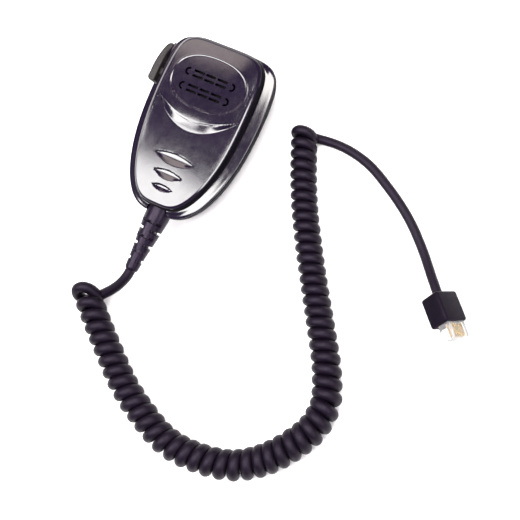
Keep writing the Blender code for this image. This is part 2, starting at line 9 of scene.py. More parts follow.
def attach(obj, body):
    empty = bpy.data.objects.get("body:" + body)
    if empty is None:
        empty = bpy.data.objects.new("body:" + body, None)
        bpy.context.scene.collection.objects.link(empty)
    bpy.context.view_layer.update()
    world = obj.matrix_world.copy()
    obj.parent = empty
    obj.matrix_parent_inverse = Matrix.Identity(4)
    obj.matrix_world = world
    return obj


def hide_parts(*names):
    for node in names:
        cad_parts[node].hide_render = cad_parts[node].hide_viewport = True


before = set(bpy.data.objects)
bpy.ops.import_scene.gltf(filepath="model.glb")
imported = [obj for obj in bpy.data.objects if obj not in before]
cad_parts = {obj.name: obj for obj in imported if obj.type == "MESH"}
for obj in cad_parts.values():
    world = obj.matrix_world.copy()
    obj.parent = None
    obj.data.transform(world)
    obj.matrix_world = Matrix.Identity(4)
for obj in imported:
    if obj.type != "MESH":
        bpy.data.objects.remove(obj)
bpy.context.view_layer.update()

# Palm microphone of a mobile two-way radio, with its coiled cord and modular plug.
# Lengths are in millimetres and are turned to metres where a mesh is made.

toMetres = 0.001
print("frame loaded")


# mesh tools

def meshObject(name, points, faces, sharpAngle=35.0):
    mesh = bpy.data.meshes.new(name)
    mesh.from_pydata([tuple(point) for point in np.asarray(points, float) * toMetres], [], faces)
    bm = bmesh.new()
    bm.from_mesh(mesh)
    bmesh.ops.remove_doubles(bm, verts=bm.verts, dist=1e-7)
    bmesh.ops.recalc_face_normals(bm, faces=bm.faces)
    bm.to_mesh(mesh)
    bm.free()
    mesh.shade_smooth()
    mesh.set_sharp_from_angle(angle=math.radians(sharpAngle))
    obj = bpy.data.objects.new(name, mesh)
    bpy.context.scene.collection.objects.link(obj)
    return obj


# Points and faces of the surface through a row of closed rings
def skin(rings, capStart=True, capEnd=True):
    rings = np.asarray(rings, float)
    count, around = rings.shape[:2]
    index = np.arange(count * around).reshape(count, around)
    low, high = index[:-1], index[1:]
    quads = np.stack([low, np.roll(low, -1, 1), np.roll(high, -1, 1), high], -1).reshape(-1, 4)
    faces = quads.tolist()
    points = rings.reshape(-1, 3)
    for wanted, ring in ((capStart, index[0]), (capEnd, index[-1])):
        if wanted:
            points = np.vstack([points, points[ring].mean(0)])
            hub = len(points) - 1
            faces += [(int(a), int(b), hub) for a, b in zip(ring, np.roll(ring, -1))]
    return points, faces


# Points a step apart on the smooth curve through the route's own points
def smoothPath(route, step):
    route = np.asarray(route, float)
    chord = np.linalg.norm(np.diff(route, axis=0), axis=1)
    secant = np.diff(route, axis=0) / chord[:, None]
    inner = secant[:-1] * chord[1:, None] + secant[1:] * chord[:-1, None]
    tangent = np.vstack([secant[:1], inner / (chord[:-1] + chord[1:])[:, None], secant[-1:]])
    pieces = []
    for k, length in enumerate(chord):
        count = max(2, int(round(length / (step * 0.25))))
        t = (np.arange(count) / count)[:, None]
        pieces.append((2 * t**3 - 3 * t**2 + 1) * route[k] + (t**3 - 2 * t**2 + t) * length * tangent[k]
                      + (3 * t**2 - 2 * t**3) * route[k + 1] + (t**3 - t**2) * length * tangent[k + 1])
    fine = np.vstack(pieces + [route[-1:]])
    travelled = travel(fine)
    wanted = np.linspace(0.0, travelled[-1], int(round(travelled[-1] / step)) + 1)
    return read(wanted, travelled, fine)


def travel(line):
    return np.concatenate([[0.0], np.cumsum(np.linalg.norm(np.diff(line, axis=0), axis=1))])


def read(wanted, places, values):
    return np.stack([np.interp(wanted, places, values[:, k]) for k in range(values.shape[1])], -1)


def unit(vectors):
    return vectors / np.linalg.norm(vectors, axis=-1, keepdims=True)


def softStep(value):
    value = np.clip(value, 0.0, 1.0)
    return value * value * (3 - 2 * value)


# Gives a piece its material, its body and the CAD nodes that it stands for
def finishPiece(obj, material, body, replaced=()):
    obj.data.materials.clear()
    obj.data.materials.append(material)
    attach(obj, body)
    if replaced:
        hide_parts(*replaced)
    return obj


def evaluated(obj):
    return bpy.data.meshes.new_from_object(obj.evaluated_get(bpy.context.evaluated_depsgraph_get()))


# Cuts with the tool, or adds it, and removes it
def combine(obj, tool, operation="DIFFERENCE", sharpAngle=35.0):
    modifier = obj.modifiers.new("combine", "BOOLEAN")
    modifier.object = tool
    modifier.operation = operation
    modifier.solver = "EXACT"
    mesh = evaluated(obj)
    obj.modifiers.remove(modifier)
    obj.data = mesh
    mesh.set_sharp_from_angle(angle=math.radians(sharpAngle))
    bpy.data.objects.remove(tool)
    return obj


# A box, with rounded edges if edge is given
def block(low, high, edge=0.0, steps=3):
    bm = bmesh.new()
    bmesh.ops.create_cube(bm, size=1.0)
    size = np.subtract(high, low)
    bmesh.ops.scale(bm, vec=size * toMetres, verts=bm.verts)
    bmesh.ops.translate(bm, vec=(np.add(high, low) / 2) * toMetres, verts=bm.verts)
    if edge:
        bmesh.ops.bevel(bm, geom=bm.edges, offset=edge * toMetres, segments=steps, profile=0.5,
                        affect="EDGES")
    mesh = bpy.data.meshes.new("block")
    bm.to_mesh(mesh)
    bm.free()
    mesh.shade_smooth()
    obj = bpy.data.objects.new("block", mesh)
    bpy.context.scene.collection.objects.link(obj)
    return obj


# A cylinder from low to high along an axis; its centre is its place in the other two directions
def rod(radius, centre, low, high, axis="Z", steps=40):
    angle = np.arange(steps) * 2 * math.pi / steps
    across, up = radius * np.cos(angle), radius * np.sin(angle)
    rings = []
    for end in (low, high):
        along = np.full(steps, float(end))
        if axis == "Z":
            rings.append(np.stack([centre[0] + across, centre[1] + up, along], -1))
        elif axis == "Y":
            rings.append(np.stack([centre[0] + across, along, centre[1] + up], -1))
        else:
            rings.append(np.stack([along, centre[0] + across, centre[1] + up], -1))
    return meshObject("rod", *skin(rings))


# materials

# A Principled material and its usual procedural parts
class Surface:
    def __init__(self, name):
        self.material = bpy.data.materials.new(name)
        self.material.use_nodes = True
        self.nodes = self.material.node_tree.nodes
        self.links = self.material.node_tree.links
        self.shader = self.nodes["Principled BSDF"]

    def noise(self, scale, detail=3.0, roughness=0.55, stretch=(1, 1, 1)):
        where = self.nodes.new("ShaderNodeTexCoord")
        mapping = self.nodes.new("ShaderNodeMapping")
        mapping.inputs["Scale"].default_value = stretch
        texture = self.nodes.new("ShaderNodeTexNoise")
        texture.inputs["Scale"].default_value = scale
        texture.inputs["Detail"].default_value = detail
        texture.inputs["Roughness"].default_value = roughness
        self.links.new(where.outputs["Object"], mapping.inputs["Vector"])
        self.links.new(mapping.outputs["Vector"], texture.inputs["Vector"])
        return texture.outputs["Fac"]

    def colour(self, source, stops):
        node = self.nodes.new("ShaderNodeValToRGB")
        elements = node.color_ramp.elements
        while len(elements) < len(stops):
            elements.new(0.5)
        for element, (place, tone) in zip(elements, stops):
            element.position = place
            element.color = (*tone, 1.0)
        self.links.new(source, node.inputs["Fac"])
        self.links.new(node.outputs["Color"], self.shader.inputs["Base Color"])

    def vary(self, socket, source, low, high):
        node = self.nodes.new("ShaderNodeMapRange")
        node.inputs["From Min"].default_value = 0.3
        node.inputs["From Max"].default_value = 0.7
        node.inputs["To Min"].default_value = low
        node.inputs["To Max"].default_value = high
        self.links.new(source, node.inputs["Value"])
        self.links.new(node.outputs["Result"], self.shader.inputs[socket])

    def bump(self, source, height, strength=0.6):
        node = self.nodes.new("ShaderNodeBump")
        node.inputs["Strength"].default_value = strength
        node.inputs["Distance"].default_value = height * toMetres
        self.links.new(source, node.inputs["Height"])
        before = self.shader.inputs["Normal"].links
        if before:
            self.links.new(before[0].from_socket, node.inputs["Normal"])
        self.links.new(node.outputs["Normal"], self.shader.inputs["Normal"])


# Moulded or rolled stuff: slow colour drift, uneven gloss, fine grain and a few soft dents
def moulded(name, dark, light, rough, grain, grainHeight, ior=1.5, drift=90.0, metallic=0.0,
            stretch=(1, 1, 1)):
    surface = Surface(name)
    surface.colour(surface.noise(drift, stretch=stretch), ((0.3, dark), (0.7, light)))
    surface.vary("Roughness", surface.noise(drift * 3.3, 4.0), *rough)
    surface.shader.inputs["IOR"].default_value = ior
    surface.shader.inputs["Metallic"].default_value = metallic
    surface.bump(surface.noise(grain, 2.0, 0.6, stretch), grainHeight)
    surface.bump(surface.noise(drift * 1.7, 1.0), grainHeight * 2, 0.25)
    return surface.material


finishes = {
    # dark tone, light tone, roughness range, grain fineness, grain height, refractive index, drift fineness
    "shell": ((0.0028, 0.0011, 0.0062), (0.0044, 0.0020, 0.0090), (0.11, 0.155), 2200.0, 0.012, 1.62),
    # the wall finish is a darker copy of the shell that barely reflects, for steep sides: partly a matt
    # finish, partly painted shade
    "wall": ((0.0010, 0.0006, 0.0018), (0.0020, 0.0012, 0.0030), (0.55, 0.65), 1500.0, 0.03, 1.12),
    "bar": ((0.009, 0.007, 0.008), (0.022, 0.018, 0.019), (0.50, 0.62), 1500.0, 0.06, 1.35, 900.0),
    "cord": ((0.0013, 0.0005, 0.0024), (0.0026, 0.0013, 0.0042), (0.46, 0.56), 1300.0, 0.05, 1.26, 120.0),
    "relief": ((0.0018, 0.0006, 0.0038), (0.0032, 0.0014, 0.0064), (0.32, 0.42), 1600.0, 0.03, 1.27, 160.0),
    "boot": ((0.0010, 0.0004, 0.0022), (0.0020, 0.0010, 0.0038), (0.46, 0.58), 1400.0, 0.05, 1.19, 200.0),
    "rubber": ((0.006, 0.006, 0.006), (0.012, 0.011, 0.011), (0.6, 0.8), 1200.0, 0.04, 1.5, 200.0),
    "felt": ((0.004, 0.004, 0.004), (0.010, 0.010, 0.010), (0.9, 1.0), 2400.0, 0.20, 1.4, 1500.0),
    "board": ((0.010, 0.060, 0.028), (0.018, 0.095, 0.045), (0.35, 0.5), 900.0, 0.02, 1.5, 300.0),
    "component": ((0.010, 0.010, 0.011), (0.020, 0.019, 0.020), (0.4, 0.55), 1500.0, 0.02, 1.5, 300.0),
    "red": ((0.42, 0.015, 0.012), (0.58, 0.030, 0.020), (0.35, 0.5), 900.0, 0.02, 1.5, 300.0),
    "white": ((0.66, 0.64, 0.60), (0.78, 0.77, 0.73), (0.35, 0.5), 900.0, 0.02, 1.5, 300.0),
}
looks = {name: moulded(name + " surface", *values) for name, values in finishes.items()}
metals = {
    "steel": ((0.52, 0.51, 0.50), (0.66, 0.65, 0.64), (0.22, 0.36), 700.0, 0.012),
    "aluminium": ((0.66, 0.66, 0.67), (0.80, 0.80, 0.81), (0.28, 0.42), 700.0, 0.012),
    "gold": ((0.78, 0.50, 0.10), (0.95, 0.68, 0.20), (0.18, 0.30), 700.0, 0.008),
}
for name, values in metals.items():
    looks[name] = moulded(name + " surface", *values, metallic=1.0, stretch=(1, 6, 1))


def clearPlastic():
    surface = Surface("clear plastic surface")
    surface.colour(surface.noise(160.0), ((0.3, (0.90, 0.91, 0.90)), (0.7, (0.98, 0.98, 0.97))))
    surface.vary("Roughness", surface.noise(600.0), 0.04, 0.12)
    surface.shader.inputs["Transmission Weight"].default_value = 0.9
    surface.shader.inputs["IOR"].default_value = 1.45
    surface.bump(surface.noise(500.0), 0.02, 0.3)
    return surface.material


looks["clear"] = clearPlastic()
coolSheen = (0.88, 0.74, 1.0, 1.0)
for name in ("cord", "relief", "boot"):
    looks[name].node_tree.nodes["Principled BSDF"].inputs["Specular Tint"].default_value = coolSheen
print("materials made")


# camera, floor and light

view = {
    "eye": (251.6, -65.4, 628.0),
    "right": (0.87126, 0.41403, -0.26361),
    "up": (-0.38620, 0.90974, 0.15240),
    "back": (0.30291, -0.03097, 0.95251),
    "lens": 92.26,
}


def makeCamera(dims):
    camera = bpy.data.objects.new("camera", bpy.data.cameras.new("camera"))
    camera.data.lens = dims["lens"]
    camera.data.clip_start = 0.01
    turn = Matrix((dims["right"], dims["up"], dims["back"])).transposed().to_4x4()
    camera.matrix_world = Matrix.Translation(Vector(dims["eye"]) * toMetres) @ turn
    bpy.context.scene.collection.objects.link(camera)
    bpy.context.scene.camera = camera
    bpy.context.scene.view_settings.view_transform = "Standard"


studio = {
    "centre": (0.0, 0.0, 25.0),
    "distance": 1200.0,
    "floorHalf": 1100.0,
    "floorTone": 0.80,
    # the room: dim and cool overhead, pale near the horizon
    "roomTone": (0.21, 0.165, 0.27),
    "horizonTone": (0.95, 0.94, 0.96),
    "horizon": (0.17, 0.27),  # heights where the pale ends and the dim starts, as shares of straight up
    # panels: direction of the middle across x and y, half sizes as directions, brightness, colour
    "panels": {
        "low left": ((-0.38, -0.105), (0.34, 0.085), 17.0, (1.0, 0.985, 0.97)),
        "lowest left": ((-0.47, -0.365), (0.19, 0.165), 20.0, (1.0, 0.985, 0.97)),
        "low right": ((0.115, -0.25), (0.235, 0.175), 19.0, (1.0, 0.98, 0.96)),
        "high right": ((0.20, 0.37), (0.30, 0.19), 18.0, (1.0, 0.97, 0.93)),
        "high left": ((-0.55, 0.40), (0.25, 0.20), 4.2, (1.0, 0.88, 0.80)),
        "far right": ((0.80, -0.10), (0.10, 0.30), 16.0, (1.0, 0.98, 0.96)),
    },
}


def makeStudio(dims):
    half = dims["floorHalf"]
    corners = [(-half, -half, 0), (half, -half, 0), (half, half, 0), (-half, half, 0)]
    floor = meshObject("floor", corners, [(0, 1, 2, 3)])
    surface = Surface("floor surface")
    surface.shader.inputs["Base Color"].default_value = (*[dims["floorTone"]] * 3, 1.0)
    surface.shader.inputs["Roughness"].default_value = 0.9
    floor.data.materials.append(surface.material)

    world = bpy.data.worlds.new("room")
    world.use_nodes = True
    nodes, links = world.node_tree.nodes, world.node_tree.links
    where, height, ramp = (nodes.new("ShaderNode" + kind)
                           for kind in ("TexCoord", "SeparateXYZ", "ValToRGB"))
    for element, place, tone in zip(ramp.color_ramp.elements, dims["horizon"],
                                    (dims["horizonTone"], dims["roomTone"])):
        element.position = place
        element.color = (*tone, 1.0)
    links.new(where.outputs["Generated"], height.inputs["Vector"])
    links.new(height.outputs["Z"], ramp.inputs["Fac"])
    links.new(ramp.outputs["Color"], nodes["Background"].inputs["Color"])
    bpy.context.scene.world = world

    for name, ((dx, dy), (halfX, halfY), glow, tone) in dims["panels"].items():
        light = bpy.data.lights.new(name, "AREA")
        light.shape = "RECTANGLE"
        light.size = 2 * halfX * dims["distance"] * toMetres
        light.size_y = 2 * halfY * dims["distance"] * toMetres
        light.energy = glow * math.pi * light.size * light.size_y
        light.color = tone
        away = Vector((dx, dy, math.sqrt(1 - dx * dx - dy * dy)))
        panel = bpy.data.objects.new(name, light)
        panel.location = (Vector(dims["centre"]) + away * dims["distance"]) * toMetres
        panel.rotation_mode = "QUATERNION"
        side = (Vector((1, 0, 0)) - away * away.x).normalized()
        panel.rotation_quaternion = Matrix((side, away.cross(side), away)).transposed().to_quaternion()
        bpy.context.scene.collection.objects.link(panel)


makeCamera(view)
makeStudio(studio)
print("camera, floor and lights placed")


# cord

cordDims = {
    "diameter": 5.2,
    "tailWidth": 4.7,
    "sides": 16,
    "step": 1.1,
    "pointsPerTurn": 30,
    "routePoint": 3,  # every third point of the coil goes into the route
    "lyingHeight": 7.55,  # the coil's middle where it lies on the floor
    "floorGap": 0.02,
    "exit": (-2.44, -76.7, 15.14),
    "lead": ((-1.62, -64.0, 16.1), (-2.0, -70.0, 15.65), (-2.4, -76.2, 15.2), (-3.2, -79.6, 14.4),
             (-5.2, -83.6, 12.6), (-8.7, -88.1, 10.2), (-13.4, -92.6, 7.6)),
    "axis": ((-22.6, -94.3, 10.4), (-10.7, -106.0, 8.8), (1.9, -117.2, 7.7), (17.5, -129.7, 7.55),
             (32.7, -138.2, 7.55), (50.2, -144.8, 7.55), (68.1, -144.8, 7.55), (85.7, -140.1, 7.55),
             (98.3, -130.8, 7.55), (107.2, -119.4, 7.55), (112.9, -108.0, 7.55), (113.8, -95.7, 7.55),
             (109.1, -83.7, 7.55), (96.8, -64.1, 7.55), (85.7, -47.8, 7.55), (73.2, -28.7, 7.55),
             (64.4, -14.2, 7.55), (55.3, 3.6, 7.55), (47.3, 22.0, 7.55)),
    "tail": ((56.5, 21.6, 2.45), (62.3, 22.1, 2.45), (68.6, 22.0, 2.45), (82.0, 19.3, 2.45),
             (96.5, 12.3, 2.45), (113.3, 1.2, 2.45), (125.5, -10.0, 3.0), (133.5, -18.4, 5.4),
             (139.6, -24.6, 7.9), (143.4, -28.4, 8.9)),
    # along the coil: distance, room that a turn takes, thickness of the cord, outer width of the coil
    "wind": ((0.0, 6.4, 5.6, 14.5), (12.0, 5.9, 6.1, 14.6), (60.0, 6.1, 6.3, 15.0), (115.0, 6.7, 6.5, 15.5),
             (145.0, 5.8, 6.1, 16.2), (175.0, 6.2, 6.3, 15.6), (212.0, 5.6, 5.8, 14.3),
             (240.0, 5.15, 5.35, 13.7), (313.0, 5.0, 5.2, 13.4)),
    # lean of the end turns, and how far along the coil it dies out
    "leanStart": (5.4, 11.0),
    "leanEnd": (2.2, 8.0),
    # unevenness of the turns: seed, spread, number of places
    "wander": (7, 0.035, 60),
}


# The cord's line and thickness through the coil: a left-handed helix whose end turns lean
def coilTurns(dims):
    axis = smoothPath(dims["axis"], 0.5)
    along = travel(axis)
    length = along[-1]
    wind = np.array(dims["wind"])
    seed, spread, places = dims["wander"]
    wander = np.random.default_rng(seed).normal(0.0, spread, places)
    uneven = 1 + np.interp(along, np.linspace(0, length, places), wander)
    pitch = np.interp(along, wind[:, 0], wind[:, 1]) * uneven
    phase = np.concatenate([[0.0], np.cumsum(np.diff(along) * (1 / pitch[1:] + 1 / pitch[:-1]) / 2)])
    turns = round(phase[-1])
    phase *= turns / phase[-1]
    wanted = np.linspace(0.0, turns, turns * dims["pointsPerTurn"] + 1)
    where = np.interp(wanted, phase, along)
    angle = -math.pi / 2 - wanted * 2 * math.pi
    centre = read(where, along, axis)
    forward = unit(read(where, along, np.gradient(axis, axis=0)))
    across = unit(np.cross((0.0, 0.0, 1.0), forward))
    upward = np.cross(forward, across)
    thick = np.interp(where, wind[:, 0], wind[:, 2])
    outer = np.interp(where, wind[:, 0], wind[:, 3])
    radius = (outer - thick) / 2
    centre[:, 2] = np.maximum(centre[:, 2] - dims["lyingHeight"], 0.0) + outer / 2 + dims["floorGap"]
    (startLean, startFade), (endLean, endFade) = dims["leanStart"], dims["leanEnd"]
    lean = startLean * np.exp(-where / startFade) - endLean * np.exp((where - length) / endFade)
    line = (centre + (radius * np.cos(angle))[:, None] * across + (radius * np.sin(angle))[:, None] * upward
            - (lean * np.sin(angle))[:, None] * forward)
    return line, thick, turns


# Rings round a line, each turned as little as possible from the one before
def tubeRings(line, radii, sides):
    ahead = unit(np.gradient(line, axis=0))
    side = unit(np.cross(ahead[0], (0.0, 0.0, 1.0)))
    angles = np.arange(sides) * 2 * math.pi / sides
    rings = []
    for place, forward, radius in zip(line, ahead, radii):
        side = unit(side - forward * side.dot(forward))
        other = np.cross(forward, side)
        rings.append(place + radius * (np.cos(angles)[:, None] * side + np.sin(angles)[:, None] * other))
    return rings


def makeCord(dims):
    helix, thick, turns = coilTurns(dims)
    start, end = len(dims["lead"]), len(dims["tail"])
    every = dims["routePoint"]
    route = np.vstack([dims["lead"], helix[::every], dims["tail"]])
    width = np.concatenate([np.full(start, dims["diameter"]), thick[::every],
                            np.full(end, dims["tailWidth"])])
    line = smoothPath(route, dims["step"])
    radii = np.interp(travel(line), travel(route) * travel(line)[-1] / travel(route)[-1], width) / 2
    line[:, 2] = np.maximum(line[:, 2], radii + dims["floorGap"])
    cord = meshObject("microphone_cord", *skin(tubeRings(line, radii, dims["sides"])), sharpAngle=60.0)
    finishPiece(cord, looks["cord"], "microphone", ("cord_lead", "cord_coil", "cord_tail"))
    length = float(travel(line)[-1])
    print("cord made:", turns, "turns,", round(length), "mm")
    return cord, line, length


# front shell

faceDims = {
    "outline": (25.4, 43.4, -42.6),  # half width, top, bottom
    "widestY": 14.0,
    "squareness": (5.5, 3.6),  # of the outline above and below its widest place
    "taper": (0.07, 0.275),
    "centreY": 4.0,
    "partingZ": 23.4,
    "faceZ": 28.2,
    "wall": 2.0,
    # rounded edge: its width, tilt where it starts, depth over width and number of rings
    "edgeRound": 1.9,
    "edgeStart": 0.75,
    "edgeDrop": 1.5,
    "edgeSteps": 8,
    "sideShares": (0.35, 0.7, 0.93),
    "footLip": 0.12,
    # what is below this height and steeper than this tilt gets the darker wall finish: partly matt, partly
    # painted shade
    "shadedMattBelow": 28.3,
    "shadedMattTilt": 0.62,
    "domeRise": 1.5,
    "padRise": 1.1,
    "padFall": 1.2,
    "crease": (2.4, 0.0145),  # place at the middle, and how much it curves up towards the sides
    "foot": (-3.0, 0.0255),
    "stepFade": (0.84, 0.15),  # where on the way to the edge the step dies out, and over how much
    "gentleRise": (18.0, 36.0),
    "rollOff": (0.085, 5.5, 15.0),  # slope, length and half width of the pad's softly falling end
    "groove": (0.08, 0.30, 0.15),  # depth, width, distance from the crease
    "dishCentreY": 22.0,
    "dishHalf": (20.2, 13.4),
    "dishPower": 2.3,
    "dishDepth": (0.10, 0.45),  # at its upper and lower end
    "dishMean": 15.0,
    "dishWall": 0.55,
    "dishRim": (0.03, 1.012, 0.28),  # height, place and width of its raised rim
    # grips: middle, half length, rise of the upper edge, fall of the lower edge
    "grips": ((-17.6, 11.4, 2.3, 3.6), (-25.9, 8.4, 2.0, 2.8), (-32.9, 5.9, 1.5, 2.0)),
    "gripSection": ((0.0, 0.06, 0.12, 0.36, 0.48, 1.0), (0.0, 0.42, 0.58, 0.80, 0.78, 0.0)),
    "gripEnds": 1.5,
    "outlineSteps": 6001,
    "around": 400,
    "firstRing": 0.004,
    "faceRings": 150,
    "ringCrowding": 1.08,
    "creaseAngle": 18.0,
    # inner side: height of its wall, its rounding, and the rings of its ceiling
    "innerTop": 3.2,
    "innerRound": 1.2,
    "ceilingDrop": 0.6,
    "ceilingReaches": (1.0, 0.88, 0.76, 0.64, 0.52, 0.4, 0.28, 0.16, 0.05),
}
reliefHole = {"radius": 7.1, "centre": (0.0, 18.0), "ends": (-50.0, -39.9), "steps": 64}


# The case's outline at a height, its points evenly spaced from the top middle round to the right
def outlineRing(size, z):
    halfWidth, top, bottom = size
    angle = np.linspace(math.pi / 2, -math.pi / 2, faceDims["outlineSteps"])
    upper = angle >= 0
    power = np.where(upper, *faceDims["squareness"])
    taper = np.where(upper, *faceDims["taper"])
    reach = np.where(upper, top - faceDims["widestY"], faceDims["widestY"] - bottom)
    lengthwise = np.abs(np.sin(angle)) ** (2 / power)
    crosswise = np.abs(np.cos(angle)) ** (2 / power)
    x = halfWidth * crosswise * (1 - taper * lengthwise**2)
    y = faceDims["widestY"] + np.sign(angle) * reach * lengthwise
    half = np.stack([x, y], -1)
    half[0, 0] = half[-1, 0] = 0.0
    places = travel(half)
    right = read(np.linspace(0.0, places[-1], faceDims["around"] // 2 + 1), places, half)
    left = right[-2:0:-1] * (-1, 1)
    flat = np.vstack([right, left])
    return np.column_stack([flat, np.full(len(flat), float(z))])


def inset(size, amount):
    return (size[0] - amount, size[1] - amount, size[2] + amount)


# Place across the dish: 0 at its middle, 1 at its edge
def dishPlace(x, y):
    halfX, halfY = faceDims["dishHalf"]
    power = faceDims["dishPower"]
    crosswise, lengthwise = np.abs(x / halfX), np.abs((y - faceDims["dishCentreY"]) / halfY)
    return (crosswise**power + lengthwise**power) ** (1 / power)


# Height of the face: dome, pad with its crease, dish and grips
def faceHeight(x, y, reach):
    dims = faceDims
    z = dims["faceZ"] + dims["domeRise"] * (1 - reach**2)
    crease = dims["crease"][0] + dims["crease"][1] * x**2
    foot = dims["foot"][0] + dims["foot"][1] * x**2
    fall = np.clip((crease - y) / (crease - foot), 0.0, 1.0)
    # The pad ends at the crease, but its step dies out towards the edge of the face
    fadeStart, fadeLength = dims["stepFade"]
    nearEdge = softStep((reach - fadeStart) / fadeLength)
    riseStart, riseLength = dims["gentleRise"]
    gentle = softStep((y + riseStart) / riseLength)
    z = z + dims["padRise"] * ((1 - fall) ** dims["padFall"] * (1 - nearEdge) + gentle * nearEdge)
    slope, length, halfWidth = dims["rollOff"]
    near = np.clip(1 - np.maximum(y - crease, 0.0) / length, 0.0, 1.0)
    drop = slope * np.clip(1 - (x / halfWidth) ** 2, 0.0, 1.0)
    z = z - drop * near**2 * length / 2 * np.where(y > crease, 1.0, 1 - fall)
    depth, width, below = dims["groove"]
    z = z - depth * np.exp(-((y - crease + below) / width) ** 2) * (1 - nearEdge)
    place = dishPlace(x, y)
    low = (dims["dishCentreY"] + dims["dishHalf"][1] - y) / (2 * dims["dishHalf"][1])
    deep = dims["dishDepth"][0] + (dims["dishDepth"][1] - dims["dishDepth"][0]) * np.clip(low, 0, 1)
    z = z - deep * softStep((1 - place) * dims["dishMean"] / dims["dishWall"])
    height, rimPlace, rimWidth = dims["dishRim"]
    z = z + height * np.exp(-((place - rimPlace) * dims["dishMean"] / rimWidth) ** 2)
    for middle, halfLength, rise, sink in dims["grips"]:
        lens = np.clip(1 - (x / halfLength) ** 2, 0.0, 1.0)
        top, bottom = middle + rise * lens, middle - sink * lens
        across = (top - y) / np.maximum(top - bottom, 1e-6)
        inside = (across > 0) & (across < 1) & (lens > 0)
        section = np.interp(across, *dims["gripSection"])
        z = z - np.where(inside, section * np.minimum(1.0, dims["gripEnds"] * np.sqrt(lens)), 0.0)
    return z


def reliefCutter(dims):
    return rod(dims["radius"], dims["centre"], *dims["ends"], "Y", dims["steps"])


def makeFrontShell(dims):
    edge = outlineRing(inset(dims["outline"], dims["edgeRound"]), 0)[:, :2]
    middle = np.array((0.0, dims["centreY"]))
    # The face's own rings, closer together near its edge
    shares = np.linspace(dims["firstRing"], 1.0, dims["faceRings"])
    reaches = 1 - (1 - shares) ** dims["ringCrowding"]
    outside = []
    for reach in reaches:
        flat = middle + (edge - middle) * reach
        outside.append(np.column_stack([flat, faceHeight(flat[:, 0], flat[:, 1], reach)]))
    rim = outside[-1][:, 2]
    first, steps = dims["edgeStart"], dims["edgeSteps"]
    for step in range(1, steps + 1):
        angle = first + step / steps * (math.pi / 2 - first)
        left = (1 - math.sin(angle)) / (1 - math.sin(first))
        ring = outlineRing(inset(dims["outline"], dims["edgeRound"] * left), 0)
        ring[:, 2] = rim - dims["edgeRound"] * dims["edgeDrop"] * (1 - math.cos(angle) / math.cos(first))
        outside.append(ring)
    sideTop = outside[-1][:, 2]
    for share in dims["sideShares"]:
        ring = outlineRing(dims["outline"], 0)
        ring[:, 2] = sideTop + (dims["partingZ"] - sideTop) * share
        outside.append(ring)
    foot = [outlineRing(inset(dims["outline"], dims["footLip"]), dims["partingZ"]),
            outlineRing(inset(dims["outline"], dims["wall"]), dims["partingZ"]),
            outlineRing(inset(dims["outline"], dims["wall"]), dims["faceZ"] - dims["innerTop"])]
    ceiling = []
    innerEdge = outlineRing(inset(dims["outline"], dims["wall"] + dims["innerRound"]), 0)[:, :2]
    for reach in dims["ceilingReaches"]:
        flat = middle + (innerEdge - middle) * reach
        z = dims["faceZ"] + dims["domeRise"] * (1 - reach**2) - dims["wall"] - dims["ceilingDrop"]
        ceiling.append(np.column_stack([flat, np.full(len(flat), z)]))
    shell = meshObject("front_shell_fine", *skin(outside + foot + ceiling))
    combine(shell, slotCutter(slotDims))
    combine(shell, reliefCutter(reliefHole), sharpAngle=dims["creaseAngle"])
    finishPiece(shell, looks["shell"], "microphone", ("front_shell",))
    # The steep side gets the darker, barely reflecting wall finish, as the rear shell's side does: partly a
    # matt side, partly painted shade on the walls and the grips' upper walls
    shell.data.materials.append(looks["wall"])
    for face in shell.data.polygons:
        steep = face.normal.z < dims["shadedMattTilt"] and face.center.z < dims["shadedMattBelow"] * toMetres
        face.material_index = 1 if steep else 0
    return shell


slotDims = {
    "rows": (26.0, 23.4, 18.3, 15.7),
    "spans": ((-9.4, -3.6), (-2.7, 2.7), (3.6, 9.4)),
    "height": 1.25,
    "depth": 9.0,
    "middleZ": 29.5,
    "curlX": 11.9,
    "curlRadius": 1.6,
    "curlTurn": 205.0,
    "curlWidth": 1.0,
    "curlSteps": 24,
}


